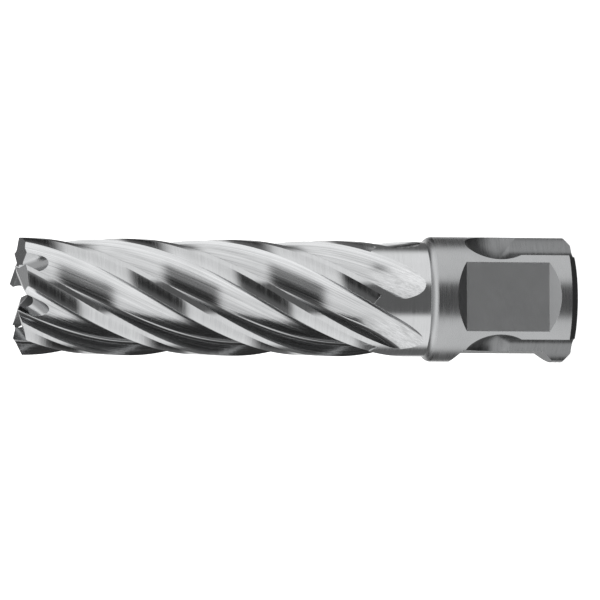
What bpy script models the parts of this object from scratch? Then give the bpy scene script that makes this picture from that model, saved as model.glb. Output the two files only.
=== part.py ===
"""Annular cutter with six helical flutes and a quick-change shank, ground from one piece of steel.

Metres, +Z up. The cutter stands on its shank: the origin is the centre of the shank's end face and
the teeth point up. Seen from above it cuts turning counter-clockwise, and its helix is right-handed.

Angles are in degrees, counter-clockwise seen from above, starting at -Y, which the first drive flat
faces. "Ahead" is the direction in which the cutter turns.
"""

from math import asin, atan, atan2, ceil, cos, degrees, pi, radians, sin, sqrt, tan

import bmesh
import bpy
from mathutils import Matrix, Vector

# Overall sizes
OVERALL_LENGTH = 0.085
CUTTING_DIAMETER = 0.0175
SHANK_DIAMETER = 0.01905
SHANK_LENGTH = 0.02145
SHANK_END_CHAMFER = 0.0011
SHOULDER_LENGTH = 0.0011
SHOULDER_BULGE = 0.00012

# The slug bore from the teeth down, and the pilot pin's hole through the shank
BORE_WALL = 0.00395
BORE_DEPTH = 0.057
BORE_END_ANGLE = 118.0
PILOT_LEDGE = 0.00155
PILOT_CHAMFER = 0.0008

# Helical flutes, ground by a wheel that lifts out of the steel before the shank
FLUTE_COUNT = 6
FLUTE_LEAD = 0.094
FLUTE_PHASE = 29.0
FLUTE_DEPTH = 0.00225
ROOT_FILLET = 0.0011
HEEL_FILLET = 0.0015
HEEL_CURL_ANGLE = 24.0
LAND_ANGLE = 17.5
WHEEL_RADIUS = 0.020
WHEEL_LIFT_ANGLE = 27.0
RUNOUT_SKEW = 1.1
RUNOUT_GAP = 0.00085

# Each land keeps a narrow round margin behind its leading edge, then a flat relief
MARGIN_WIDTH = 0.0005
LAND_RELIEF = 0.00024
RELIEF_GAP = 0.0070

# Teeth: every other one is high, with a steep outer bevel, and the rest are low and flatter
TIP_INSET = 0.00240
TIP_AHEAD = 11.0
HIGH_CORNER_DROP = 0.0013
LOW_TIP_DROP = 0.0003
LOW_CORNER_DROP = 0.0008
BORE_CORNER_DROP = 0.00067
END_RELIEF_ANGLE = 15.0

# Gullets ahead of the teeth, cut from the flute floor down into the bore
GULLET_WIDTH = 0.0028
GULLET_DEPTH = 0.00445
GULLET_TILT = 45.0
GULLET_SHARE = 0.4

# Two drive flats on the shank, the second a quarter turn from the first
FLAT_DEPTH = 0.0016
FLAT_START = 0.0046
FLAT_LENGTH = 0.0124
FLAT_END_SLOPE = 41.5
FLAT_ANGLES = (0.0, -90.0)

# Three conical seats for the holder's balls, each with a lead-in groove from the shank's end
SEAT_HEIGHT = 0.0115
SEAT_MOUTH_RADIUS = 0.0051
SEAT_CONE_ANGLE = 120.0
SEAT_ANGLES = (60.0, 180.0, 300.0)
GROOVE_RADIUS = 0.0033
GROOVE_DEPTH = 0.00238

# How finely round and twisted surfaces are divided
BLANK_STEPS = 80
SEAT_STEPS = 48
ARC_STEPS = 4
FLOOR_STEPS = 3
RUNOUT_STEPS = 8
FLUTE_STEP = 0.0024

# How far cutters stand clear of the steel that they cut, and how far neighbouring teeth's bevel
# cutters overlap within the gullet between them
OVERCUT = 0.0010
SECTOR_OVERLAP = 1.5

CUTTING_RADIUS = CUTTING_DIAMETER / 2
SHANK_RADIUS = SHANK_DIAMETER / 2
BORE_RADIUS = CUTTING_RADIUS - BORE_WALL
PILOT_RADIUS = BORE_RADIUS - PILOT_LEDGE
ROOT_HEIGHT = CUTTING_RADIUS - FLUTE_DEPTH
BODY_START = SHANK_LENGTH + SHOULDER_LENGTH
PITCH_ANGLE = 360.0 / FLUTE_COUNT
HEEL_ANGLE = PITCH_ANGLE - LAND_ANGLE
GULLET_ANGLE = PITCH_ANGLE * GULLET_SHARE
HELIX_SLOPE = 2 * pi * CUTTING_RADIUS / FLUTE_LEAD


def lead_angle(height):
    """Angle of the first tooth's leading edge at a height along the cutter."""
    return FLUTE_PHASE + (height - OVERALL_LENGTH) / FLUTE_LEAD * 360.0


def polar(radius, angle, height=0.0):
    """Point at a radius and angle round the axis, at a height."""
    return Vector((radius * sin(radians(angle)), -radius * cos(radians(angle)), height))


def turned(angle):
    """Rotation about the cutter's axis."""
    return Matrix.Rotation(radians(angle), 4, "Z")


def add_object(name, bm, collection):
    """Object made from a bmesh, with its faces pointing out, in a collection."""
    bmesh.ops.recalc_face_normals(bm, faces=bm.faces)
    if bm.calc_volume(signed=True) < 0:
        bmesh.ops.reverse_faces(bm, faces=bm.faces)
    mesh = bpy.data.meshes.new(name)
    bm.to_mesh(mesh)
    bm.free()
    made = bpy.data.objects.new(name, mesh)
    collection.objects.link(made)
    return made


def prism(outline, heights):
    """Bmesh of a flat outline of (x, y) points, extruded up from height to height."""
    bm = bmesh.new()
    top = bm.faces.new([bm.verts.new((x, y, heights[0])) for x, y in outline])
    for low, high in zip(heights, heights[1:]):
        made = bmesh.ops.extrude_face_region(bm, geom=[top])["geom"]
        if low != heights[0]:
            bmesh.ops.delete(bm, geom=[top], context="FACES_ONLY")
        top = next(item for item in made if isinstance(item, bmesh.types.BMFace))
        bmesh.ops.translate(bm, vec=(0, 0, high - low), verts=top.verts)
    return bm


def arc(centre, radius, start, end):
    """Points on a round stretch of an outline, from one angle to another."""
    angles = [radians(start + (end - start) * step / ARC_STEPS) for step in range(ARC_STEPS + 1)]
    return [(centre[0] + radius * cos(angle), centre[1] + radius * sin(angle)) for angle in angles]


def shoulder_points():
    """Profile of the shoulder, from the body down to the shank, slightly domed."""
    points = []
    for step in range(ARC_STEPS + 1):
        share = step / ARC_STEPS
        radius = CUTTING_RADIUS + (SHANK_RADIUS - CUTTING_RADIUS) * share
        bulge = SHOULDER_BULGE * 4 * share * (1 - share)
        points.append((radius + bulge, BODY_START - SHOULDER_LENGTH * share + bulge))
    return points


def blank_profile():
    """Half section of the turned blank: down the outside, then up through the bore."""
    bore_end = OVERALL_LENGTH - BORE_DEPTH
    cone_depth = (BORE_RADIUS - PILOT_RADIUS) / tan(radians(BORE_END_ANGLE / 2))
    outside = [(CUTTING_RADIUS, OVERALL_LENGTH)] + shoulder_points() + [
        (SHANK_RADIUS, SHANK_END_CHAMFER),
        (SHANK_RADIUS - SHANK_END_CHAMFER, 0.0),
    ]
    inside = [
        (PILOT_RADIUS + PILOT_CHAMFER, 0.0),
        (PILOT_RADIUS, PILOT_CHAMFER),
        (PILOT_RADIUS, bore_end - cone_depth),
        (BORE_RADIUS, bore_end),
        (BORE_RADIUS, OVERALL_LENGTH),
    ]
    return outside + inside


def turned_blank(name, collection):
    """The blank before grinding: its half section turned by a Screw modifier."""
    points = [Vector((radius, 0, height)) for radius, height in blank_profile()]
    edges = [(index, (index + 1) % len(points)) for index in range(len(points))]
    mesh = bpy.data.meshes.new(name)
    mesh.from_pydata(points, edges, [])
    blank = bpy.data.objects.new(name, mesh)
    collection.objects.link(blank)
    screw = blank.modifiers.new("turned", "SCREW")
    screw.steps = BLANK_STEPS
    screw.render_steps = BLANK_STEPS
    screw.use_merge_vertices = True
    screw.merge_threshold = 0.00001
    return blank


def along_flute(ahead, out, station):
    """Where a point of a flute's section comes to lie when the section is swept along the flute.

    The section is leaned back so that it stands square to the flute, and each point keeps to its
    own helix.
    """
    height = station - ahead * HELIX_SLOPE
    return turned(lead_angle(height)) @ Vector((ahead, -out, height))


def flute_floor():
    """Points across a flute's floor, from the root fillet to where the heel fillet begins."""
    heel_radius = CUTTING_RADIUS - LAND_RELIEF
    heel = Vector((sin(radians(HEEL_ANGLE)), cos(radians(HEEL_ANGLE)))) * heel_radius
    curl = radians(HEEL_CURL_ANGLE)
    centre = heel + Vector((-sin(curl), cos(curl))) * HEEL_FILLET
    root = Vector((ROOT_FILLET, ROOT_HEIGHT))
    span = centre - root
    tilt = atan2(span.y, span.x) - asin(HEEL_FILLET / span.length)
    length = sqrt(span.length**2 - HEEL_FILLET**2)
    end = root + Vector((cos(tilt), sin(tilt))) * length
    return [root.lerp(end, step / FLOOR_STEPS) for step in range(FLOOR_STEPS + 1)], centre, tilt


def flute_outline():
    """Section of a flute as (ahead, out): rake wall, root fillet, floor and heel fillet."""
    floor, heel_centre, tilt = flute_floor()
    root = arc((ROOT_FILLET, ROOT_HEIGHT + ROOT_FILLET), ROOT_FILLET, 180, 270)
    heel = arc(heel_centre, HEEL_FILLET, 270 + degrees(tilt), 350)
    clear = CUTTING_RADIUS + OVERCUT
    middle = radians(HEEL_ANGLE / 2)
    above = [(sin(middle) * (clear + OVERCUT), cos(middle) * (clear + OVERCUT)), (0.0, clear)]
    return root + [tuple(point) for point in floor[1:-1]] + heel + above


def wheel_lift(gone):
    """How far the round wheel has lifted, some way along the flute past where it starts to."""
    along = max(gone, 0.0) / cos(atan(HELIX_SLOPE))
    return WHEEL_RADIUS - sqrt(WHEEL_RADIUS**2 - along**2)


def runout_stations():
    """The station where the wheel starts to lift, and the one where it has left the steel."""
    lift_way = Vector((sin(radians(WHEEL_LIFT_ANGLE)), cos(radians(WHEEL_LIFT_ANGLE))))
    exits = []
    reaches = []
    for point in flute_floor()[0]:
        out = point.dot(lift_way)
        lift = sqrt(out**2 - point.length**2 + (CUTTING_RADIUS + OVERCUT / 10) ** 2) - out
        gone = sqrt(WHEEL_RADIUS**2 - (WHEEL_RADIUS - lift) ** 2) * cos(atan(HELIX_SLOPE))
        exits.append(gone + point.x * RUNOUT_SKEW)
        reaches.append(exits[-1] + (point.x + lift * lift_way.x) * HELIX_SLOPE)
    start = BODY_START + RUNOUT_GAP + max(reaches)
    return start, start - max(exits)


def flute_cutter(name, angle, collection):
    """Steel that the wheel takes out of one flute.

    Near the shank the wheel lifts away. It is set askew to the flute, so that it leaves the steel
    first at the rake wall and last near the heel.
    """
    start, end = runout_stations()
    top = OVERALL_LENGTH + CUTTING_RADIUS * HELIX_SLOPE
    count = ceil((top - start) / FLUTE_STEP)
    stations = [top - (top - start) * step / count for step in range(count)]
    stations += [start - (start - end) * step / RUNOUT_STEPS for step in range(RUNOUT_STEPS + 1)]
    bm = prism(flute_outline(), list(range(len(stations))))
    for vert in bm.verts:
        station = stations[round(vert.co.z)]
        lift = wheel_lift(start - station - vert.co.x * RUNOUT_SKEW)
        ahead = vert.co.x + lift * sin(radians(WHEEL_LIFT_ANGLE))
        out = vert.co.y + lift * cos(radians(WHEEL_LIFT_ANGLE))
        vert.co = turned(angle) @ along_flute(ahead, out, station)
    return add_object(name, bm, collection)


def land_cutter(name, angle, collection):
    """Thin sliver taken off one land behind its margin, which leaves the land flat."""
    heel_radius = CUTTING_RADIUS - LAND_RELIEF
    margin_angle = degrees(asin(MARGIN_WIDTH / CUTTING_RADIUS))
    margin = polar(CUTTING_RADIUS, -margin_angle)
    heel = polar(heel_radius, -LAND_ANGLE)
    beyond = (heel - margin).normalized() * OVERCUT / 2
    outwards = heel.normalized() * OVERCUT
    inner = [margin - beyond, heel + beyond]
    outline = inner + [point + outwards for point in reversed(inner)]
    section = [(point.x, -point.y) for point in outline]
    low = BODY_START + RELIEF_GAP
    top = OVERALL_LENGTH + OVERCUT
    count = ceil((top - low) / FLUTE_STEP)
    bm = prism(section, list(range(count + 1)))
    for vert in bm.verts:
        station = low + (top - low) * vert.co.z / count
        vert.co = turned(angle) @ along_flute(vert.co.x, vert.co.y, station)
    return add_object(name, bm, collection)


def gullet_cutter(name, angle, collection):
    """Round-ended slot whose floor falls outwards, laid along the flute."""
    radius = (BORE_RADIUS + CUTTING_RADIUS) / 2
    bottom = OVERALL_LENGTH - GULLET_DEPTH
    place = turned(angle + lead_angle(bottom) + GULLET_ANGLE)
    outward = Vector((0, -1, 0))
    helix = atan(2 * pi * radius / FLUTE_LEAD)
    upward = Vector((sin(helix), 0, cos(helix)))
    tilt = radians(GULLET_TILT)
    along = outward * cos(tilt) - upward * sin(tilt)
    rising = outward * sin(tilt) + upward * cos(tilt)
    across = rising.cross(along)
    half = GULLET_WIDTH / 2
    height = (GULLET_DEPTH + CUTTING_RADIUS) / cos(tilt)
    outline = arc((0.0, half), half, 180, 360) + [(half, height), (-half, height)]
    inner = (BORE_RADIUS / 2 - radius) / cos(tilt)
    outer = (CUTTING_RADIUS + OVERCUT - radius) / cos(tilt)
    bm = prism(outline, [inner, outer])
    frame = Matrix((across, rising, along)).transposed().to_4x4()
    seat = Matrix.Translation(polar(radius, 0.0, bottom))
    bmesh.ops.transform(bm, matrix=place @ seat @ frame, verts=bm.verts)
    return add_object(name, bm, collection)


def bevel_cutter(name, sector_end, edge, collection):
    """Everything in one tooth's sector above the plane of a bevel.

    The plane holds the cutting edge, given by its tip and its far corner, and falls away behind
    the edge by the end relief.
    """
    tip, corner = edge
    reach = (CUTTING_RADIUS + OVERCUT) / cos(radians(PITCH_ANGLE / 2))
    start = sector_end - PITCH_ANGLE - SECTOR_OVERLAP
    turns = (start, sector_end - PITCH_ANGLE / 2, sector_end + SECTOR_OVERLAP)
    rim = [polar(reach, turn) for turn in turns]
    outline = [(0.0, 0.0)] + [(point.x, point.y) for point in rim]
    bm = prism(outline, [OVERALL_LENGTH - CUTTING_RADIUS, OVERALL_LENGTH + OVERCUT])
    middle = (tip + corner) / 2
    behind = Vector((middle.y, -middle.x, 0)).normalized()
    falling = behind - Vector((0, 0, tan(radians(END_RELIEF_ANGLE))))
    normal = (corner - tip).cross(falling)
    normal *= 1 if normal.z > 0 else -1
    everything = bm.verts[:] + bm.edges[:] + bm.faces[:]
    bmesh.ops.bisect_plane(bm, geom=everything, plane_co=tip, plane_no=normal, clear_inner=True)
    rim_edges = [edge for edge in bm.edges if edge.is_boundary]
    bmesh.ops.contextual_create(bm, geom=rim_edges)
    return add_object(name, bm, collection)


def tooth_cutters(index, collection):
    """The outer and inner bevel cutters of one tooth, high or low by turns."""
    high = index % 2 == 0
    tip_height = OVERALL_LENGTH - (0.0 if high else LOW_TIP_DROP)
    corner_height = OVERALL_LENGTH - (HIGH_CORNER_DROP if high else LOW_CORNER_DROP)
    angle = PITCH_ANGLE * index
    tip = polar(CUTTING_RADIUS - TIP_INSET, angle + lead_angle(tip_height) + TIP_AHEAD, tip_height)
    corner = polar(CUTTING_RADIUS, angle + lead_angle(corner_height), corner_height)
    gullet_middle = angle + lead_angle(tip_height) + GULLET_ANGLE
    gullet_edge = gullet_middle - degrees(asin(GULLET_WIDTH / 2 / BORE_RADIUS))
    bore_corner = polar(BORE_RADIUS, gullet_edge, tip_height - BORE_CORNER_DROP)
    sector_end = angle + lead_angle(OVERALL_LENGTH) + GULLET_ANGLE
    return [
        bevel_cutter(f"outer_bevel_{index + 1}", sector_end, (tip, corner), collection),
        bevel_cutter(f"inner_bevel_{index + 1}", sector_end, (tip, bore_corner), collection),
    ]


def flat_cutter(name, angle, collection):
    """Drive flat with sloping ends, cut across the shank."""
    floor = SHANK_RADIUS - FLAT_DEPTH
    outer = SHANK_RADIUS + OVERCUT
    run = (outer - floor) / tan(radians(FLAT_END_SLOPE))
    end = FLAT_START + FLAT_LENGTH
    outline = [(floor, FLAT_START), (floor, end), (outer, end + run), (outer, FLAT_START - run)]
    bm = prism(outline, [-outer, outer])
    stand = Matrix(((0, 0, 1, 0), (-1, 0, 0, 0), (0, 1, 0, 0), (0, 0, 0, 1)))
    bmesh.ops.transform(bm, matrix=turned(angle) @ stand, verts=bm.verts)
    return add_object(name, bm, collection)


def seat_cutters(index, angle, collection):
    """A conical seat and its lead-in groove."""
    slope = tan(radians(SEAT_CONE_ANGLE / 2))
    depth = SEAT_MOUTH_RADIUS / slope + OVERCUT
    point_radius = SHANK_RADIUS + OVERCUT - depth
    facing_out = Matrix.Rotation(radians(90), 4, "X")
    centre = Matrix.Translation((0, -point_radius - depth / 2, SEAT_HEIGHT))
    cone = bmesh.new()
    bmesh.ops.create_cone(
        cone, cap_ends=True, segments=SEAT_STEPS, radius1=0, radius2=depth * slope, depth=depth,
        matrix=turned(angle) @ centre @ facing_out,
    )
    groove = bmesh.new()
    length = SEAT_HEIGHT + OVERCUT
    axis_radius = SHANK_RADIUS - GROOVE_DEPTH + GROOVE_RADIUS
    place = Matrix.Translation((0, -axis_radius, length / 2 - OVERCUT))
    bmesh.ops.create_cone(
        groove, cap_ends=True, segments=SEAT_STEPS, radius1=GROOVE_RADIUS, radius2=GROOVE_RADIUS,
        depth=length, matrix=turned(angle) @ place,
    )
    return [
        add_object(f"seat_{index + 1}", cone, collection),
        add_object(f"groove_{index + 1}", groove, collection),
    ]


def all_cutters(collection):
    """Every cutter, the simple ones before those that leave the steel finely divided."""
    cutters = []
    for index in range(FLUTE_COUNT):
        cutters += tooth_cutters(index, collection)
    for index, angle in enumerate(FLAT_ANGLES):
        cutters.append(flat_cutter(f"drive_flat_{index + 1}", angle, collection))
    for index, angle in enumerate(SEAT_ANGLES):
        cutters += seat_cutters(index, angle, collection)
    for feature, make in (
        ("land_relief", land_cutter), ("flute", flute_cutter), ("gullet", gullet_cutter),
    ):
        for index in range(FLUTE_COUNT):
            cutters.append(make(f"{feature}_{index + 1}", PITCH_ANGLE * index, collection))
    return cutters


def ground_steel():
    """Bright ground tool steel."""
    material = bpy.data.materials.new("ground_steel")
    material.use_nodes = True
    shader = material.node_tree.nodes["Principled BSDF"]
    shader.inputs["Base Color"].default_value = (0.42, 0.42, 0.43, 1)
    shader.inputs["Metallic"].default_value = 1.0
    shader.inputs["Roughness"].default_value = 0.28
    return material


def main():
    """Build the cutter."""
    for item in list(bpy.data.objects):
        bpy.data.objects.remove(item, do_unlink=True)
    parts = bpy.data.collections.new("annular_cutter_parts")
    tools = bpy.data.collections.new("cutters")
    for collection in (parts, tools):
        bpy.context.scene.collection.children.link(collection)

    body = turned_blank("annular_cutter", parts)
    body.data.materials.append(ground_steel())
    for cutter in all_cutters(tools):
        cutter.hide_render = True
        cutter.display_type = "WIRE"
        cut = body.modifiers.new(cutter.name, "BOOLEAN")
        cut.operation = "DIFFERENCE"
        cut.solver = "EXACT"
        cut.object = cutter


main()
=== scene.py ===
"""Annular cutter in ground tool steel, standing on its shank: the fine surface, its finishes, the
studio and the camera.

The cutter is one piece of steel, so the scene has one piece for it. A blank is turned by a spin, and
the flutes, lands, gullets, bevels, flats and ball seats are then taken out of it by cutters that
carry the finish of the surface that they leave.
"""

import logging
from dataclasses import dataclass, field
from enum import IntEnum
from math import asin, atan, atan2, ceil, cos, degrees, pi, radians, sin, sqrt, tan
from typing import Callable, Sequence

import bmesh
import bpy
from mathutils import Matrix, Vector


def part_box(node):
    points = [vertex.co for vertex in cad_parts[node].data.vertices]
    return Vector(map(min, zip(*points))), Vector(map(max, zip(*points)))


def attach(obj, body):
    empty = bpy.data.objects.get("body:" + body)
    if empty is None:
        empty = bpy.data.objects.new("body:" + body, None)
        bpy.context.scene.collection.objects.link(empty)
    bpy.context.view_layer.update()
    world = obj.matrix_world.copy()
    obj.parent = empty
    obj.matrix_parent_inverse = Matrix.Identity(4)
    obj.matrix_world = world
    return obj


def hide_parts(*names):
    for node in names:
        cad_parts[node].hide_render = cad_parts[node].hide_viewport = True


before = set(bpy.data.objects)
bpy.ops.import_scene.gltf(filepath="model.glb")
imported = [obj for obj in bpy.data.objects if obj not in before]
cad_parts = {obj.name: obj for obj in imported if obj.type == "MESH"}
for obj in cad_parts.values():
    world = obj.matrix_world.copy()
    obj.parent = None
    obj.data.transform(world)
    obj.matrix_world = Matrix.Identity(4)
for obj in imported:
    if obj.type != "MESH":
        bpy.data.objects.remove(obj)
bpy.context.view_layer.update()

MM = 0.001
NODE = "annular_cutter"
END_FACE = 0.9  # a face is an end of the blank, not its bore, from this square of its normal's z
LOG = logging.getLogger("annular_cutter")


class Finish(IntEnum):
    """How a surface was made, which is also its material's slot on the cutter."""

    ROUND_GROUND = 0
    FLUTE_GROUND = 1
    LAND_GROUND = 2
    FLAT_MILLED = 3
    SEAT_MILLED = 4
    BORED = 5
    TOOTH_GROUND = 6


@dataclass(frozen=True)
class CutterSizes:
    """Real sizes of the cutter in metres and degrees. The first two are the solid's own."""

    length: float
    shank_radius: float

    # Turned blank: fluted body, shoulder, shank and bore
    cutting_radius: float = 8.85 * MM
    back_taper: float = 0.08 * MM
    shank_length: float = 21.35 * MM
    shank_chamfer: float = 1.02 * MM
    shoulder_length: float = 1.1 * MM
    shoulder_bulge: float = 0.12 * MM
    bore_wall: float = 4.05 * MM
    bore_depth: float = 57.0 * MM
    bore_end_angle: float = 118.0
    pilot_ledge: float = 1.55 * MM
    pilot_chamfer: float = 0.8 * MM

    # Flutes, and how the wheel lifts out of them
    flute_count: int = 6
    flute_lead: float = 95.6 * MM
    flute_phase: float = 34.3
    flute_depth: float = 2.25 * MM
    root_fillet: float = 0.65 * MM
    heel_fillet: float = 2.4 * MM
    heel_curl_angle: float = 24.0
    heel_exit_angle: float = 350.0
    land_angle: float = 20.5
    wheel_radius: float = 20.0 * MM
    wheel_lift_angle: float = 2.0
    runout_skew: float = 0.77
    runout_gap: float = 0.3 * MM
    runout_clearance: float = 0.1 * MM

    # Lands: a round margin, then flat relief down to the heel
    margin_width: float = 0.76 * MM
    land_relief: float = 0.2 * MM
    relief_gap: float = 7.0 * MM

    # Teeth, high and low by turns
    tip_inset: float = 2.3 * MM
    high_corner_drop: float = 1.48 * MM
    low_tip_drop: float = 0.35 * MM
    low_corner_drop: float = 0.98 * MM
    bore_corner_drop: float = 0.5 * MM
    end_relief_angle: float = 15.0

    # Gullet ahead of each tooth
    gullet_width: float = 2.85 * MM
    gullet_depth: float = 4.65 * MM
    gullet_tilt: float = 45.0
    gullet_share: float = 0.32

    # Drive flats, and ball seats with their grooves
    flat_depth: float = 1.57 * MM
    flat_start: float = 4.24 * MM
    flat_length: float = 12.7 * MM
    flat_end_slope: float = 45.0
    seat_height: float = 11.6 * MM
    seat_mouth_radius: float = 5.1 * MM
    seat_cone_angle: float = 120.0
    groove_radius: float = 3.8 * MM
    groove_depth: float = 1.78 * MM

    # How far the cutters reach past the steel, and past each other
    overcut: float = 1.0 * MM
    sector_overlap: float = 1.5

    @property
    def bore_radius(self) -> float:
        """Radius of the slug bore."""
        return self.cutting_radius - self.bore_wall

    @property
    def neck_radius(self) -> float:
        """Radius of the body where it meets the shoulder."""
        return self.cutting_radius - self.back_taper

    @property
    def pilot_radius(self) -> float:
        """Radius of the pilot pin's hole."""
        return self.bore_radius - self.pilot_ledge

    @property
    def root_height(self) -> float:
        """Distance of the flute's root from the cutter's axis, along the rake wall."""
        return self.cutting_radius - self.flute_depth

    @property
    def body_start(self) -> float:
        """Height at which the fluted body meets the shoulder."""
        return self.shank_length + self.shoulder_length

    @property
    def pitch_angle(self) -> float:
        """Angle from one tooth to the next."""
        return 360.0 / self.flute_count

    @property
    def heel_angle(self) -> float:
        """Angle from a leading edge to the heel of the land ahead of it."""
        return self.pitch_angle - self.land_angle

    @property
    def gullet_angle(self) -> float:
        """Angle from a leading edge to the middle of the gullet ahead of it."""
        return self.pitch_angle * self.gullet_share

    @property
    def helix_slope(self) -> float:
        """Tangent of the helix angle at the cutting diameter."""
        return 2 * pi * self.cutting_radius / self.flute_lead

    def lead_angle(self, height: float) -> float:
        """Angle of the first tooth's leading edge at a height, in degrees from -Y."""
        return self.flute_phase + (height - self.length) / self.flute_lead * 360.0

    def gullet_side(self, radius: float, height: float) -> float:
        """Angle of the first gullet's wall at the tooth behind it, at a radius and a height."""
        half = degrees(asin(self.gullet_width / 2 / radius))
        return self.lead_angle(height) + self.gullet_angle - half


@dataclass(frozen=True)
class Fineness:
    """How finely round and twisted surfaces are divided: step counts, metres and degrees."""

    blank_steps: int = 216
    blank_turn: float = 0.43
    seat_steps: int = 96
    arc_steps: int = 12
    floor_steps: int = 8
    land_steps: int = 4
    runout_steps: int = 20
    flute_step: float = 0.8 * MM
    land_step: float = 0.65 * MM
    ring_step: float = 1.5 * MM
    merge_distance: float = 0.001 * MM
    sharp_angle: float = 9.5


def face_out(bm: bmesh.types.BMesh) -> None:
    """Turn a closed mesh's faces outward.

    Args:
        bm: The mesh, in one connected piece.
    """
    bmesh.ops.recalc_face_normals(bm, faces=bm.faces)
    if bm.calc_volume(signed=True) < 0:
        bmesh.ops.reverse_faces(bm, faces=bm.faces)


def polar(radius: float, angle: float, height: float = 0.0) -> Vector:
    """Point at a radius and angle round the axis, at a height.

    Args:
        radius: Distance from the axis in metres.
        angle: Degrees from -Y, counter-clockwise seen from above.
        height: Height in metres.

    Returns:
        The point.
    """
    return Vector((radius * sin(radians(angle)), -radius * cos(radians(angle)), height))


def turned(angle: float) -> Matrix:
    """Rotation about the cutter's axis by an angle in degrees."""
    return Matrix.Rotation(radians(angle), 4, "Z")


def arc(centre: Sequence[float], radius: float, start: float, end: float, steps: int) -> list[Vector]:
    """Points on a round stretch of an outline.

    Args:
        centre: Centre of the arc.
        radius: Radius of the arc.
        start: Angle of the first point in degrees.
        end: Angle of the last point in degrees.
        steps: Number of equal steps between them.

    Returns:
        The points from the first to the last.
    """
    middle = Vector(centre[:2])
    angles = [radians(start + (end - start) * step / steps) for step in range(steps + 1)]
    return [middle + Vector((cos(angle), sin(angle))) * radius for angle in angles]


def prism(outline: Sequence[Sequence[float]], heights: Sequence[float]) -> bmesh.types.BMesh:
    """Closed mesh of a flat outline that is extruded up from height to height.

    Args:
        outline: Corners of the outline as (x, y).
        heights: Heights of the sections, lowest first.

    Returns:
        The mesh.
    """
    bm = bmesh.new()
    top = bm.faces.new([bm.verts.new((point[0], point[1], heights[0])) for point in outline])
    for low, high in zip(heights, heights[1:]):
        made = bmesh.ops.extrude_face_region(bm, geom=[top])["geom"]
        # The extrusion keeps the face that it starts from, which would be left inside.
        if low != heights[0]:
            bmesh.ops.delete(bm, geom=[top], context="FACES_ONLY")
        top = next(item for item in made if isinstance(item, bmesh.types.BMFace))
        bmesh.ops.translate(bm, vec=(0, 0, high - low), verts=top.verts)
    return bm


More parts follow.
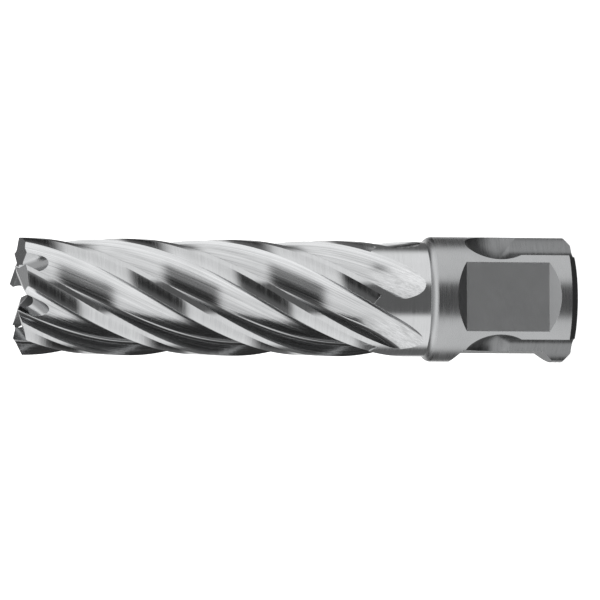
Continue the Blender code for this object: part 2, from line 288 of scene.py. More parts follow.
@dataclass
class Flute:
    """One flute as a grinding wheel makes it: its section and how the wheel lifts out."""

    sizes: CutterSizes
    fine: Fineness

    def along(self, ahead: float, out: float, station: float) -> Vector:
        """Where a point of the section lies when the section is swept along the flute.

        Args:
            ahead: Distance ahead of the leading edge's radius.
            out: Distance out along the leading edge's radius.
            station: Height at which the section crosses that radius.

        Returns:
            The point, on its own helix, with the section standing square to the flute.
        """
        height = station - ahead * self.sizes.helix_slope
        return turned(self.sizes.lead_angle(height)) @ Vector((ahead, -out, height))

    def floor(self) -> tuple[list[Vector], Vector, float]:
        """Points across the floor, the heel fillet's centre and the floor's tilt.

        Returns:
            The points from the root fillet to the heel fillet, the centre, and the tilt in radians.
        """
        sizes = self.sizes
        heel_radius = sizes.cutting_radius - sizes.land_relief
        heel_turn = radians(sizes.heel_angle)
        heel = Vector((sin(heel_turn), cos(heel_turn))) * heel_radius
        curl = radians(sizes.heel_curl_angle)
        centre = heel + Vector((-sin(curl), cos(curl))) * sizes.heel_fillet
        root = Vector((sizes.root_fillet, sizes.root_height))
        span = centre - root
        tilt = atan2(span.y, span.x) - asin(sizes.heel_fillet / span.length)
        length = sqrt(span.length**2 - sizes.heel_fillet**2)
        end = root + Vector((cos(tilt), sin(tilt))) * length
        steps = self.fine.floor_steps
        return [root.lerp(end, step / steps) for step in range(steps + 1)], centre, tilt

    def outline(self) -> list[Vector]:
        """Section of the flute: rake wall, root fillet, floor and heel fillet, closed outside.

        Returns:
            The points as (ahead, out) from the leading edge's radius.
        """
        sizes = self.sizes
        floor, heel_centre, tilt = self.floor()
        root_centre = (sizes.root_fillet, sizes.root_height + sizes.root_fillet)
        steps = self.fine.arc_steps
        root = arc(root_centre, sizes.root_fillet, 180, 270, steps)
        heel = arc(heel_centre, sizes.heel_fillet, 270 + degrees(tilt), sizes.heel_exit_angle, steps)
        clear = sizes.cutting_radius + sizes.overcut
        middle = radians(sizes.heel_angle / 2)
        crest = Vector((sin(middle), cos(middle))) * (clear + sizes.overcut)
        return root + floor[1:-1] + heel + [crest, Vector((0.0, clear))]

    def wheel_lift(self, gone: float) -> float:
        """How far the round wheel has lifted, some way past where it starts to.

        Args:
            gone: Height gone down past the start, in metres.

        Returns:
            The lift in metres.
        """
        radius = self.sizes.wheel_radius
        run = max(gone, 0.0) / cos(atan(self.sizes.helix_slope))
        return radius - sqrt(radius**2 - run**2)

    def runout(self) -> tuple[float, float]:
        """Where the wheel starts to lift, so that the flute ends just short of the shoulder.

        Returns:
            The station of the start, and the one at which the wheel has left the steel.
        """
        sizes = self.sizes
        turn = radians(sizes.wheel_lift_angle)
        lift_way = Vector((sin(turn), cos(turn)))
        clear = sizes.cutting_radius + sizes.runout_clearance
        exits = []
        reaches = []
        for point in self.floor()[0]:
            out = point.dot(lift_way)
            lift = sqrt(out**2 - point.length**2 + clear**2) - out
            run = sqrt(sizes.wheel_radius**2 - (sizes.wheel_radius - lift) ** 2)
            gone = run * cos(atan(sizes.helix_slope)) + point.x * sizes.runout_skew
            exits.append(gone)
            reaches.append(gone + (point.x + lift * lift_way.x) * sizes.helix_slope)
        start = sizes.body_start + sizes.runout_gap + max(reaches)
        return start, start - max(exits)

    def swept(self) -> bmesh.types.BMesh:
        """Steel that the wheel takes out of the first flute.

        Returns:
            The section swept down the helix, and up out of the steel at its end.
        """
        sizes = self.sizes
        fine = self.fine
        start, end = self.runout()
        top = sizes.length + sizes.cutting_radius * sizes.helix_slope
        count = ceil((top - start) / fine.flute_step)
        stations = [top - (top - start) * step / count for step in range(count)]
        steps = fine.runout_steps
        stations += [start - (start - end) * step / steps for step in range(steps + 1)]
        bm = prism(self.outline(), list(range(len(stations))))
        turn = radians(sizes.wheel_lift_angle)
        for vert in bm.verts:
            station = stations[round(vert.co.z)]
            lift = self.wheel_lift(start - station - vert.co.x * sizes.runout_skew)
            ahead = vert.co.x + lift * sin(turn)
            out = vert.co.y + lift * cos(turn)
            vert.co = self.along(ahead, out, station)
        return bm

    def land_sliver(self) -> bmesh.types.BMesh:
        """Sliver taken off the land behind its margin, which leaves the land flat.

        Returns:
            The closed mesh. Its inner side has several spans across, because one twisted span
            would be split into two triangles that shade as saw teeth.
        """
        sizes = self.sizes
        margin_angle = degrees(asin(sizes.margin_width / sizes.cutting_radius))
        margin = polar(sizes.cutting_radius, -margin_angle)
        heel = polar(sizes.cutting_radius - sizes.land_relief, -sizes.land_angle)
        beyond = (heel - margin).normalized() * sizes.overcut / 2
        outwards = heel.normalized() * sizes.overcut
        start, end = margin - beyond, heel + beyond
        steps = self.fine.land_steps
        inner = [start.lerp(end, step / steps) for step in range(steps + 1)]
        section = [(point.x, -point.y) for point in inner + [end + outwards, start + outwards]]
        low = sizes.body_start + sizes.relief_gap
        top = sizes.length + sizes.overcut
        count = ceil((top - low) / self.fine.land_step)
        bm = prism(section, list(range(count + 1)))
        for vert in bm.verts:
            station = low + (top - low) * vert.co.z / count
            vert.co = self.along(vert.co.x, vert.co.y, station)
        return bm


@dataclass
class Crown:
    """The cutting end: a gullet ahead of each tooth, and the teeth's bevels."""

    sizes: CutterSizes
    fine: Fineness

    def gullet(self) -> bmesh.types.BMesh:
        """Round-ended slot ahead of the first tooth, whose floor falls outwards.

        Returns:
            The closed mesh of the slot, square to the flute.
        """
        sizes = self.sizes
        radius = (sizes.bore_radius + sizes.cutting_radius) / 2
        bottom = sizes.length - sizes.gullet_depth
        place = turned(sizes.lead_angle(bottom) + sizes.gullet_angle)
        outward = Vector((0, -1, 0))
        helix = atan(2 * pi * radius / sizes.flute_lead)
        upward = Vector((sin(helix), 0, cos(helix)))
        tilt = radians(sizes.gullet_tilt)
        along = outward * cos(tilt) - upward * sin(tilt)
        rising = outward * sin(tilt) + upward * cos(tilt)
        across = rising.cross(along)
        half = sizes.gullet_width / 2
        height = (sizes.gullet_depth + sizes.cutting_radius) / cos(tilt)
        round_end = arc((0.0, half), half, 180, 360, 2 * self.fine.arc_steps)
        outline = round_end + [Vector((half, height)), Vector((-half, height))]
        inner = (sizes.bore_radius / 2 - radius) / cos(tilt)
        outer = (sizes.cutting_radius + sizes.overcut - radius) / cos(tilt)
        bm = prism(outline, [inner, outer])
        stand = Matrix((across, rising, along)).transposed().to_4x4()
        seat = Matrix.Translation(polar(radius, 0.0, bottom))
        bmesh.ops.transform(bm, matrix=place @ seat @ stand, verts=bm.verts)
        return bm

    def bevel_normal(self, tip: Vector, corner: Vector) -> Vector:
        """Normal of the bevel that holds a cutting edge and falls away behind it.

        Args:
            tip: The tooth's tip, at one end of the cutting edge.
            corner: The other end of the cutting edge.

        Returns:
            The normal, pointing up.
        """
        middle = (tip + corner) / 2
        behind = Vector((middle.y, -middle.x, 0)).normalized()
        falling = behind - Vector((0, 0, tan(radians(self.sizes.end_relief_angle))))
        normal = (corner - tip).cross(falling)
        return normal if normal.z > 0 else -normal

    def tooth(self, index: int) -> bmesh.types.BMesh:
        """Everything in one tooth's sector above its outer and inner bevels.

        Teeth are high or low by turns. The two bevels meet in a ridge that goes back from the tip.

        Args:
            index: The tooth's place round the cutter.

        Returns:
            The closed mesh.
        """
        sizes = self.sizes
        high = index % 2 == 0
        tip_height = sizes.length - (0.0 if high else sizes.low_tip_drop)
        drop = sizes.high_corner_drop if high else sizes.low_corner_drop
        corner_height = sizes.length - drop
        angle = sizes.pitch_angle * index
        tip_radius = sizes.cutting_radius - sizes.tip_inset
        tip = polar(tip_radius, angle + sizes.gullet_side(tip_radius, tip_height), tip_height)
        corner_angle = angle + sizes.lead_angle(corner_height)
        corner = polar(sizes.cutting_radius, corner_angle, corner_height)
        bore_side = angle + sizes.gullet_side(sizes.bore_radius, tip_height)
        bore_corner = polar(sizes.bore_radius, bore_side, tip_height - sizes.bore_corner_drop)
        normals = [self.bevel_normal(tip, corner), self.bevel_normal(tip, bore_corner)]

        reach = (sizes.cutting_radius + sizes.overcut) / cos(radians(sizes.pitch_angle / 2))
        sector_end = angle + sizes.lead_angle(sizes.length) + sizes.gullet_angle
        sector_end += sizes.sector_overlap
        sector = sizes.pitch_angle + 2 * sizes.sector_overlap
        rim = [polar(reach, sector_end - sector * share) for share in (1.0, 0.5, 0.0)]
        bm = prism([Vector((0.0, 0.0))] + rim, [0.0, sizes.length + sizes.overcut])
        ridge = normals[0].cross(normals[1])
        everything = bm.verts[:] + bm.edges[:] + bm.faces[:]
        upright = ridge.cross(Vector((0, 0, 1)))
        bmesh.ops.bisect_plane(bm, geom=everything, plane_co=tip, plane_no=upright)
        # The sector's underside is laid on the lower of the two bevels.
        for vert in bm.verts:
            if vert.co.z < sizes.length:
                away = vert.co - tip
                drops = [(away.x * normal.x + away.y * normal.y) / normal.z for normal in normals]
                vert.co.z = tip.z - max(drops)
        return bm


@dataclass
class Shank:
    """The gripped end: drive flats, and ball seats with their lead-in grooves."""

    sizes: CutterSizes
    fine: Fineness
    flat_angles: tuple[float, ...] = (0.0, -90.0)
    seat_angles: tuple[float, ...] = (60.0, 180.0, 300.0)

    def flat(self, angle: float) -> bmesh.types.BMesh:
        """Drive flat with sloping ends.

        Args:
            angle: The way it faces, in degrees from -Y.

        Returns:
            The closed mesh of the milled steel.
        """
        sizes = self.sizes
        floor = sizes.shank_radius - sizes.flat_depth
        outer = sizes.shank_radius + sizes.overcut
        run = (outer - floor) / tan(radians(sizes.flat_end_slope))
        start = sizes.flat_start
        end = sizes.flat_start + sizes.flat_length
        outline = [(floor, start), (floor, end), (outer, end + run), (outer, start - run)]
        bm = prism(outline, [-outer, outer])
        stand = Matrix(((0, 0, 1, 0), (-1, 0, 0, 0), (0, 1, 0, 0), (0, 0, 0, 1)))
        bmesh.ops.transform(bm, matrix=turned(angle) @ stand, verts=bm.verts)
        return bm

    def seat(self, angle: float) -> bmesh.types.BMesh:
        """Conical ball seat.

        Args:
            angle: The way it faces, in degrees from -Y.

        Returns:
            The cone.
        """
        sizes = self.sizes
        slope = tan(radians(sizes.seat_cone_angle / 2))
        depth = sizes.seat_mouth_radius / slope + sizes.overcut
        point_radius = sizes.shank_radius + sizes.overcut - depth
        facing_out = Matrix.Rotation(radians(90), 4, "X")
        centre = Matrix.Translation((0, -point_radius - depth / 2, sizes.seat_height))
        bm = bmesh.new()
        bmesh.ops.create_cone(
            bm, cap_ends=True, segments=self.fine.seat_steps, radius1=0, radius2=depth * slope,
            depth=depth, matrix=turned(angle) @ centre @ facing_out,
        )
        return bm

    def groove(self, angle: float) -> bmesh.types.BMesh:
        """Round-bottomed groove from the shank's end to the ball seat.

        Args:
            angle: The way it faces, in degrees from -Y.

        Returns:
            The round bar that leaves it.
        """
        sizes = self.sizes
        length = sizes.seat_height + sizes.overcut
        axis_radius = sizes.shank_radius - sizes.groove_depth + sizes.groove_radius
        place = Matrix.Translation((0, -axis_radius, length / 2 - sizes.overcut))
        bm = bmesh.new()
        bmesh.ops.create_cone(
            bm, cap_ends=True, segments=self.fine.seat_steps, radius1=sizes.groove_radius,
            radius2=sizes.groove_radius, depth=length, matrix=turned(angle) @ place,
        )
        return bm


@dataclass
class CutterBody:
    """The whole cutter: a turned blank that each tool then takes its share out of."""

    sizes: CutterSizes
    fine: Fineness = field(default_factory=Fineness)

    def profile(self) -> list[Vector]:
        """Half section of the blank, down the outside and up the bore.

        Returns:
            The corners as (radius, 0, height). The long sides have rings, so that the faces that
            the cutters leave stay short and shade evenly.
        """
        sizes = self.sizes
        body_length = sizes.length - sizes.body_start
        rings = ceil(body_length / self.fine.ring_step)
        points = []
        for ring in range(rings):
            share = ring / rings
            radius = sizes.cutting_radius - sizes.back_taper * share
            points.append(Vector((radius, 0, sizes.length - body_length * share)))
        steps = self.fine.arc_steps
        for step in range(steps + 1):
            share = step / steps
            radius = sizes.neck_radius + (sizes.shank_radius - sizes.neck_radius) * share
            bulge = sizes.shoulder_bulge * 4 * share * (1 - share)
            height = sizes.body_start - sizes.shoulder_length * share + bulge
            points.append(Vector((radius + bulge, 0, height)))
        chamfer = sizes.shank_chamfer
        rings = ceil((sizes.shank_length - chamfer) / self.fine.ring_step)
        for ring in range(1, rings + 1):
            height = sizes.shank_length + (chamfer - sizes.shank_length) * ring / rings
            points.append(Vector((sizes.shank_radius, 0, height)))
        points.append(Vector((sizes.shank_radius - chamfer, 0, 0)))
        bore_end = sizes.length - sizes.bore_depth
        cone = (sizes.bore_radius - sizes.pilot_radius) / tan(radians(sizes.bore_end_angle / 2))
        points.append(Vector((sizes.pilot_radius + sizes.pilot_chamfer, 0, 0)))
        points.append(Vector((sizes.pilot_radius, 0, sizes.pilot_chamfer)))
        points.append(Vector((sizes.pilot_radius, 0, bore_end - cone)))
        points.append(Vector((sizes.bore_radius, 0, bore_end)))
        points.append(Vector((sizes.bore_radius, 0, sizes.length)))
        return points

    def blank(self) -> bmesh.types.BMesh:
        """The blank, spun round the axis, with a finish on each of its faces.

        Returns:
            The closed mesh.
        """
        bm = bmesh.new()
        verts = [bm.verts.new(point) for point in self.profile()]
        edges = [bm.edges.new((vert, verts[index - 1])) for index, vert in enumerate(verts)]
        bmesh.ops.spin(
            bm, geom=verts + edges, cent=(0, 0, 0), axis=(0, 0, 1), angle=2 * pi,
            steps=self.fine.blank_steps, use_merge=True, use_duplicate=False,
        )
        bmesh.ops.remove_doubles(bm, verts=bm.verts, dist=self.fine.merge_distance)
        # No facet's edge may fall on a corner of a cutter, which would leave a hole in the mesh.
        bmesh.ops.transform(bm, matrix=turned(self.fine.blank_turn), verts=bm.verts)
        inside = (self.sizes.bore_radius + self.sizes.cutting_radius) / 2
        for face in bm.faces:
            middle = face.calc_center_median()
            bored = Vector((middle.x, middle.y)).length < inside and face.normal.z**2 < END_FACE
            outside = Finish.LAND_GROUND if middle.z > self.sizes.body_start else Finish.ROUND_GROUND
            face.material_index = Finish.BORED if bored else outside
        face_out(bm)
        return bm

    def ring(self, make: Callable[[], bmesh.types.BMesh]) -> bmesh.types.BMesh:
        """One copy of a cutter for each flute, in one mesh.

        Args:
            make: Makes the cutter for the first flute.

        Returns:
            The joined copies.
        """
        whole = bmesh.new()
        for index in range(self.sizes.flute_count):
            single = make()
            face_out(single)
            bmesh.ops.transform(
                single, matrix=turned(self.sizes.pitch_angle * index), verts=single.verts
            )
            holder = bpy.data.meshes.new("holder")
            single.to_mesh(holder)
            single.free()
            whole.from_mesh(holder)
            bpy.data.meshes.remove(holder)
        return whole

    def steps(self) -> list[tuple[str, Finish, bmesh.types.BMesh]]:
        """Every cutter in the order of the cuts.

        Returns:
            The name, the finish that it leaves, and the closed mesh of each.
        """
        crown = Crown(self.sizes, self.fine)
        shank = Shank(self.sizes, self.fine)
        flute = Flute(self.sizes, self.fine)
        steps = []
        for index in range(self.sizes.flute_count):
            steps.append((f"tooth_{index + 1}", Finish.TOOTH_GROUND, crown.tooth(index)))
        for angle in shank.flat_angles:
            steps.append(("flat", Finish.FLAT_MILLED, shank.flat(angle)))
        for angle in shank.seat_angles:
            steps.append(("seat", Finish.SEAT_MILLED, shank.seat(angle)))
            steps.append(("groove", Finish.SEAT_MILLED, shank.groove(angle)))
        for _, _, bm in steps:
            face_out(bm)
        steps.append(("land", Finish.LAND_GROUND, self.ring(flute.land_sliver)))
        steps.append(("flute", Finish.FLUTE_GROUND, self.ring(flute.swept)))
        steps.append(("gullet", Finish.TOOTH_GROUND, self.ring(crown.gullet)))
        return steps

    def make_object(
        self, name: str, bm: bmesh.types.BMesh, materials: Sequence[bpy.types.Material]
    ) -> bpy.types.Object:
        """Object of a closed mesh, at the origin.

        Args:
            name: The object's name.
            bm: Its mesh, which is freed.
            materials: One material for each finish.

        Returns:
            The object, linked to the scene.
        """
        mesh = bpy.data.meshes.new(name)
        bm.to_mesh(mesh)
        bm.free()
        for material in materials:
            mesh.materials.append(material)
        made = bpy.data.objects.new(name, mesh)
        bpy.context.scene.collection.objects.link(made)
        return made

    def build(self, materials: Sequence[bpy.types.Material]) -> bpy.types.Object:
        """The finished cutter.

        Args:
            materials: One material for each finish.

        Returns:
            Its object, at the origin.
        """
        body = self.make_object("ground_cutter", self.blank(), materials)
        cutters = []
        for name, finish, bm in self.steps():
            for face in bm.faces:
                face.material_index = finish
            cutter = self.make_object(name, bm, materials)
            cutters.append(cutter)
            cut = body.modifiers.new(name, "BOOLEAN")
            cut.operation = "DIFFERENCE"
            cut.solver = "EXACT"
            cut.object = cutter
        graph = bpy.context.evaluated_depsgraph_get()
        ground = bpy.data.meshes.new_from_object(body.evaluated_get(graph))
        body.modifiers.clear()
        body.data = ground
        for cutter in cutters:
            bpy.data.objects.remove(cutter, do_unlink=True)
        ground.shade_smooth()
        ground.set_sharp_from_angle(angle=radians(self.fine.sharp_angle))
        return body


def linear(value: str) -> tuple[float, float, float, float]:
    """Linear colour of an sRGB value.

    Args:
        value: The hex value, such as "#8a8b8c".

    Returns:
        Red, green, blue and an alpha of 1.
    """
    parts = [int(value[place:place + 2], 16) / 255 for place in (1, 3, 5)]
    red, green, blue = (c / 12.92 if c <= 0.04045 else ((c + 0.055) / 1.055) ** 2.4 for c in parts)
    return (red, green, blue, 1.0)


def add_node(
    tree: bpy.types.NodeTree, kind: str, links: dict | None = None, **settings: object
) -> bpy.types.Node:
    """Node with its settings and its input links.

    Args:
        tree: The tree to add to.
        kind: The node's type name.
        links: Input name or index to an output socket or a plain value.
        **settings: Attributes of the node.

    Returns:
        The node.
    """
    node = tree.nodes.new(kind)
    for name, value in settings.items():
        setattr(node, name, value)
    for name, value in (links or {}).items():
        if isinstance(value, bpy.types.NodeSocket):
            tree.links.new(value, node.inputs[name])
        else:
            node.inputs[name].default_value = value
    return node


@dataclass(frozen=True)
class GroundSteel:
    """Finish of one kind of surface on the same tool steel.

    The marks are lines left by the wheel or the tool, so they are drawn as noise that is stretched
    along the way in which the tool went. Real grinding lines are a few hundredths of a millimetre
    apart, too fine to show, so all of them are drawn coarser, 0.16 to 0.3 mm apart.
    """

    name: str
    colour: str
    roughness: float
    line_spacing: float
    line_length: float
    line_depth: float
    follows_flutes: bool = False
    along_axis: bool = False
    streak: float = 0.0
    blotch: float = 0.06
    roughness_spread: float = 0.12
    line_detail: float = 3.0
    line_roughness: float = 0.65
    patches_per_metre: float = 260.0
    noise_range: tuple[float, float] = (0.3, 0.7)
    edge_radius: float = 0.06 * MM

    def spread(
        self, tree: bpy.types.NodeTree, noise: bpy.types.NodeSocket, low: float, high: float
    ) -> bpy.types.NodeSocket:
        """Noise brought to a range.

        Args:
            tree: The material's nodes.
            noise: The noise.
            low: Value where the noise is low.
            high: Value where the noise is high.

        Returns:
            The value.
        """
        start, end = self.noise_range
        links = {0: noise, 1: start, 2: end, 3: low, 4: high}
        return add_node(tree, "ShaderNodeMapRange", links).outputs[0]

    def material(self, lead: float) -> bpy.types.Material:
        """The finish as a material.

        Args:
            lead: Lead of the flutes' helix, for marks that follow them.

        Returns:
            The material.
        """
        made = bpy.data.materials.new(self.name)
        made.use_nodes = True
        tree = made.node_tree
        shader = tree.nodes["Principled BSDF"]
        shader.inputs["Metallic"].default_value = 1.0

        place = unturned = add_node(tree, "ShaderNodeTexCoord").outputs["Object"]
        if self.follows_flutes:
            parts = add_node(tree, "ShaderNodeSeparateXYZ", {0: place})
            turn = add_node(
                tree, "ShaderNodeMath", {0: parts.outputs["Z"], 1: -2 * pi / lead},
                operation="MULTIPLY",
            )
            place = add_node(
                tree, "ShaderNodeVectorRotate", {"Vector": place, "Angle": turn.outputs[0]},
                rotation_type="Z_AXIS",
            ).outputs[0]
        across = 1 / self.line_spacing
        along = 1 / self.line_length
        scale = (across, across, along) if self.along_axis else (along, along, across)
        stretched = add_node(
            tree, "ShaderNodeMapping", {"Vector": place, "Scale": scale}
        ).outputs[0]
        lines = add_node(
            tree, "ShaderNodeTexNoise",
            {"Vector": stretched, "Scale": 1.0, "Detail": self.line_detail,
             "Roughness": self.line_roughness},
        ).outputs[0]
        half = self.roughness_spread / 2
        rough = self.spread(tree, lines, self.roughness - half, self.roughness + half)
        patches = add_node(
            tree, "ShaderNodeTexNoise", {"Vector": unturned, "Scale": self.patches_per_metre}
        ).outputs[0]
        tone = self.spread(tree, patches, 1 - self.blotch, 1.0)
        scores = self.spread(tree, lines, 1 - self.streak, 1.0)
        shade = add_node(
            tree, "ShaderNodeMath", {0: tone, 1: scores}, operation="MULTIPLY"
        ).outputs[0]
        colour = add_node(
            tree, "ShaderNodeMix", {0: 1.0, 6: linear(self.colour), 7: shade},
            data_type="RGBA", blend_type="MULTIPLY",
        ).outputs[2]
        eased = add_node(
            tree, "ShaderNodeBevel", {"Radius": self.edge_radius}, samples=4
        ).outputs[0]
        bump = add_node(
            tree, "ShaderNodeBump",
            {"Strength": 1.0, "Distance": self.line_depth, "Height": lines, "Normal": eased},
        ).outputs[0]
        tree.links.new(colour, shader.inputs["Base Color"])
        tree.links.new(rough, shader.inputs["Roughness"])
        tree.links.new(bump, shader.inputs["Normal"])
        return made


FINISHES: dict[Finish, GroundSteel] = {
    # Cylindrical grinding goes round the shank: a soft sheen that is drawn out along the axis.
    Finish.ROUND_GROUND: GroundSteel(
        name="cylindrically_ground_steel", colour="#b2b3b4", roughness=0.28,
        line_spacing=0.28 * MM, line_length=9.0 * MM, line_depth=0.0009 * MM, streak=0.1,
    ),
    # The flute wheel runs down the flute: long bright and dark streaks that follow the helix.
    Finish.FLUTE_GROUND: GroundSteel(
        name="wheel_ground_flute_steel", colour="#d6d7d8", roughness=0.17,
        line_spacing=0.26 * MM, line_length=18.0 * MM, line_depth=0.008 * MM,
        follows_flutes=True, along_axis=True, streak=0.35,
    ),
    # Margins, reliefs and the neck are ground across: nearly a mirror, with fine cross lines.
    Finish.LAND_GROUND: GroundSteel(
        name="relief_ground_land_steel", colour="#cfd0d1", roughness=0.15,
        line_spacing=0.22 * MM, line_length=6.0 * MM, line_depth=0.0009 * MM,
        follows_flutes=True, streak=0.12,
    ),
    # An end mill and the hardening leave the flats an even, matt grey.
    Finish.FLAT_MILLED: GroundSteel(
        name="milled_flat_steel", colour="#b0b1b2", roughness=0.5,
        line_spacing=0.16 * MM, line_length=0.6 * MM, line_depth=0.004 * MM,
    ),
    # The seats and grooves keep the mill's marks: darker, with short lines.
    Finish.SEAT_MILLED: GroundSteel(
        name="milled_seat_steel", colour="#8c8d8e", roughness=0.3,
        line_spacing=0.3 * MM, line_length=3.0 * MM, line_depth=0.014 * MM, streak=0.25,
    ),
    # The drilled bore is duller, with rings round it.
    Finish.BORED: GroundSteel(
        name="bored_steel", colour="#8c8d8e", roughness=0.4,
        line_spacing=0.3 * MM, line_length=8.0 * MM, line_depth=0.003 * MM,
    ),
    # Bevels and gullets are cut by a fine wheel: clean facets, each of one tone.
    Finish.TOOTH_GROUND: GroundSteel(
        name="tooth_ground_steel", colour="#b8b9ba", roughness=0.22,
        line_spacing=0.2 * MM, line_length=2.5 * MM, line_depth=0.0008 * MM, along_axis=True,
    ),
}


@dataclass
class Studio:
    """Pale floor, soft light and the camera at the photograph's viewing angle.

    The light is a world of soft boxes. Each edge is a pair of values between which it fades: degrees
    round from the camera, or the up part of a direction.
    """

    # Camera, in metres and degrees
    camera_distance: float = 700 * MM
    camera_azimuth: float = -3.363
    camera_elevation: float = 7.586
    camera_roll: float = 0.429
    view_width: float = 91.13 * MM
    aim_side: float = -0.259 * MM
    aim_height: float = 41.278 * MM
    sensor: float = 36.0
    near_clip: float = 10 * MM

    # Floor
    floor_size: float = 30.0
    floor_colour: str = "#f2f2f2"
    floor_roughness: float = 0.9
    floor_glow: float = 0.75

    # Boxes at the sides and behind, and the dark gap in front
    side_start: tuple[float, float] = (25.0, 38.0)
    side_end: tuple[float, float] = (122.0, 100.0)
    side_level: float = 0.95
    gap_level: float = 0.03
    gap_low_level: float = 0.17
    gap_start: tuple[float, float] = (-0.03, -0.12)
    back_start: tuple[float, float] = (150.0, 165.0)
    back_level: float = 0.7

    # Roof, with a narrow strip under it, and the zenith
    roof_start: tuple[float, float] = (0.24, 0.4)
    strip_start: tuple[float, float] = (0.1, 0.16)
    strip_end: tuple[float, float] = (0.28, 0.2)
    strip_level: float = 0.3
    roof_end: tuple[float, float] = (135.0, 100.0)
    roof_level: float = 1.35
    roof_back_level: float = 0.18
    zenith_start: tuple[float, float] = (0.7, 0.95)
    zenith_level: float = 0.65

    # Dark ground
    ground_end: tuple[float, float] = (-0.6, -0.3)
    ground_level: float = 0.05

    def floor(self) -> None:
        """Pale floor that the cutter stands on, left out of its reflections."""
        bm = bmesh.new()
        bmesh.ops.create_grid(bm, x_segments=1, y_segments=1, size=self.floor_size)
        mesh = bpy.data.meshes.new("studio_floor")
        bm.to_mesh(mesh)
        bm.free()
        made = bpy.data.objects.new("studio_floor", mesh)
        bpy.context.scene.collection.objects.link(made)
        material = bpy.data.materials.new("pale_paper")
        material.use_nodes = True
        shader = material.node_tree.nodes["Principled BSDF"]
        shader.inputs["Base Color"].default_value = linear(self.floor_colour)
        shader.inputs["Roughness"].default_value = self.floor_roughness
        shader.inputs["Emission Color"].default_value = linear("#ffffff")
        shader.inputs["Emission Strength"].default_value = self.floor_glow
        mesh.materials.append(material)
        made.visible_glossy = False

    def ramp(
        self, tree: bpy.types.NodeTree, value: bpy.types.NodeSocket, start: float, end: float
    ) -> bpy.types.NodeSocket:
        """Smooth step from 0 at one value to 1 at another.

        Args:
            tree: The world's nodes.
            value: What is compared.
            start: Value at which the step starts.
            end: Value at which it is whole.

        Returns:
            The step.
        """
        low, high = min(start, end), max(start, end)
        levels = (0.0, 1.0) if start < end else (1.0, 0.0)
        return add_node(
            tree, "ShaderNodeMapRange", {0: value, 1: low, 2: high, 3: levels[0], 4: levels[1]},
            interpolation_type="SMOOTHSTEP",
        ).outputs[0]

    def math(
        self, tree: bpy.types.NodeTree, operation: str, *values: bpy.types.NodeSocket | float
    ) -> bpy.types.NodeSocket:
        """Result of one sum, such as "MULTIPLY", on sockets or plain values."""
        links = dict(enumerate(values))
        return add_node(tree, "ShaderNodeMath", links, operation=operation).outputs[0]

    def mix(
        self, tree: bpy.types.NodeTree, share: bpy.types.NodeSocket,
        low: bpy.types.NodeSocket | float, high: bpy.types.NodeSocket | float,
    ) -> bpy.types.NodeSocket:
        """Value between two others, at a share of the way from the first."""
        links = {0: share, 2: low, 3: high}
        return add_node(tree, "ShaderNodeMix", links, data_type="FLOAT").outputs[0]

    def level(self, tree: bpy.types.NodeTree) -> bpy.types.NodeSocket:
        """How bright the studio is in each direction that the steel mirrors.

        Args:
            tree: The world's nodes.

        Returns:
            The level.
        """
        way = add_node(tree, "ShaderNodeTexCoord").outputs["Generated"]
        turned_way = add_node(
            tree, "ShaderNodeVectorRotate",
            {"Vector": way, "Angle": radians(-self.camera_azimuth)}, rotation_type="Z_AXIS",
        ).outputs[0]
        parts = add_node(tree, "ShaderNodeSeparateXYZ", {0: turned_way}).outputs
        sideways = self.math(tree, "ABSOLUTE", parts["X"])
        towards = self.math(tree, "MULTIPLY", parts["Y"], -1.0)
        azimuth = self.math(tree, "ARCTAN2", sideways, towards)
        height = parts["Z"]

        side = self.math(
            tree, "MULTIPLY", self.ramp(tree, azimuth, *map(radians, self.side_start)),
            self.ramp(tree, azimuth, *map(radians, self.side_end)),
        )
        behind = self.ramp(tree, azimuth, *map(radians, self.back_start))
        gap = self.math(
            tree, "MULTIPLY_ADD", self.ramp(tree, height, *self.gap_start),
            self.gap_low_level - self.gap_level, self.gap_level,
        )
        strip = self.math(
            tree, "MULTIPLY", self.ramp(tree, height, *self.strip_start),
            self.ramp(tree, height, *self.strip_end),
        )
        gap = self.math(tree, "MULTIPLY_ADD", strip, self.strip_level, gap)
        low = self.math(tree, "MULTIPLY_ADD", side, self.side_level, gap)
        low = self.math(tree, "MULTIPLY_ADD", behind, self.back_level, low)
        front = self.ramp(tree, azimuth, *map(radians, self.roof_end))
        high = self.math(
            tree, "MULTIPLY_ADD", front, self.roof_level - self.roof_back_level,
            self.roof_back_level,
        )
        zenith = self.ramp(tree, height, *self.zenith_start)
        high = self.mix(tree, zenith, high, self.zenith_level)
        roof = self.ramp(tree, height, *self.roof_start)
        level = self.mix(tree, roof, low, high)
        above = self.ramp(tree, height, *self.ground_end)
        return self.mix(tree, above, self.ground_level, level)

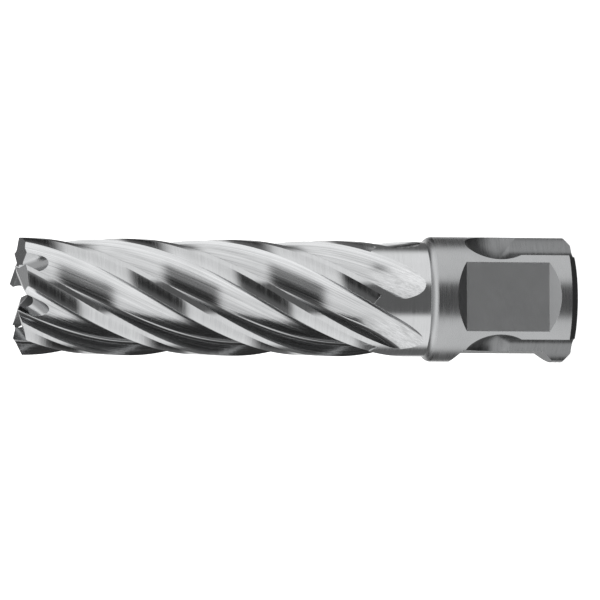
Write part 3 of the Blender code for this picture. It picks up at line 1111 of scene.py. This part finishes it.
    def light(self) -> None:
        """World that shows the camera white, and the steel soft boxes and dark gaps between."""
        world = bpy.data.worlds.new("studio")
        bpy.context.scene.world = world
        world.use_nodes = True
        tree = world.node_tree
        tree.nodes.clear()
        seen = add_node(tree, "ShaderNodeLightPath").outputs["Is Camera Ray"]
        strength = self.mix(tree, seen, self.level(tree), 1.0)
        background = add_node(
            tree, "ShaderNodeBackground", {"Color": (1, 1, 1, 1), "Strength": strength}
        )
        add_node(tree, "ShaderNodeOutputWorld", {"Surface": background.outputs[0]})

    def camera(self) -> None:
        """Camera turned on its side, so that the cutter lies across the picture, teeth left."""
        turn = radians(self.camera_azimuth)
        rise = radians(self.camera_elevation)
        back = Vector((sin(turn) * cos(rise), -cos(turn) * cos(rise), sin(rise)))
        down = Vector((0, 0, -1))
        right = (down - back * down.dot(back)).normalized()
        up = back.cross(right)
        roll = radians(self.camera_roll)
        right, up = right * cos(roll) + up * sin(roll), up * cos(roll) - right * sin(roll)
        aim = Vector((self.aim_side, 0, self.aim_height))
        data = bpy.data.cameras.new("camera")
        data.sensor_width = self.sensor
        data.lens = self.sensor * self.camera_distance / self.view_width
        data.clip_start = self.near_clip
        made = bpy.data.objects.new("camera", data)
        place = Matrix.Translation(aim + back * self.camera_distance)
        made.matrix_world = place @ Matrix((right, up, back)).transposed().to_4x4()
        bpy.context.scene.collection.objects.link(made)
        bpy.context.scene.camera = made

    def build(self) -> None:
        """Set the studio up."""
        bpy.context.scene.view_settings.view_transform = "Standard"
        self.floor()
        self.light()
        self.camera()


def main() -> None:
    """Build the cutter and its studio."""
    logging.basicConfig(level=logging.INFO)
    high = Vector(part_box(NODE)[1])
    sizes = CutterSizes(length=high.z, shank_radius=high.x)
    materials = [FINISHES[finish].material(sizes.flute_lead) for finish in Finish]
    cutter = CutterBody(sizes).build(materials)
    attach(cutter, "root")
    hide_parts(NODE)
    LOG.info("%s: %d faces", cutter.name, len(cutter.data.polygons))
    Studio().build()


if __name__ == "__main__":
    main()
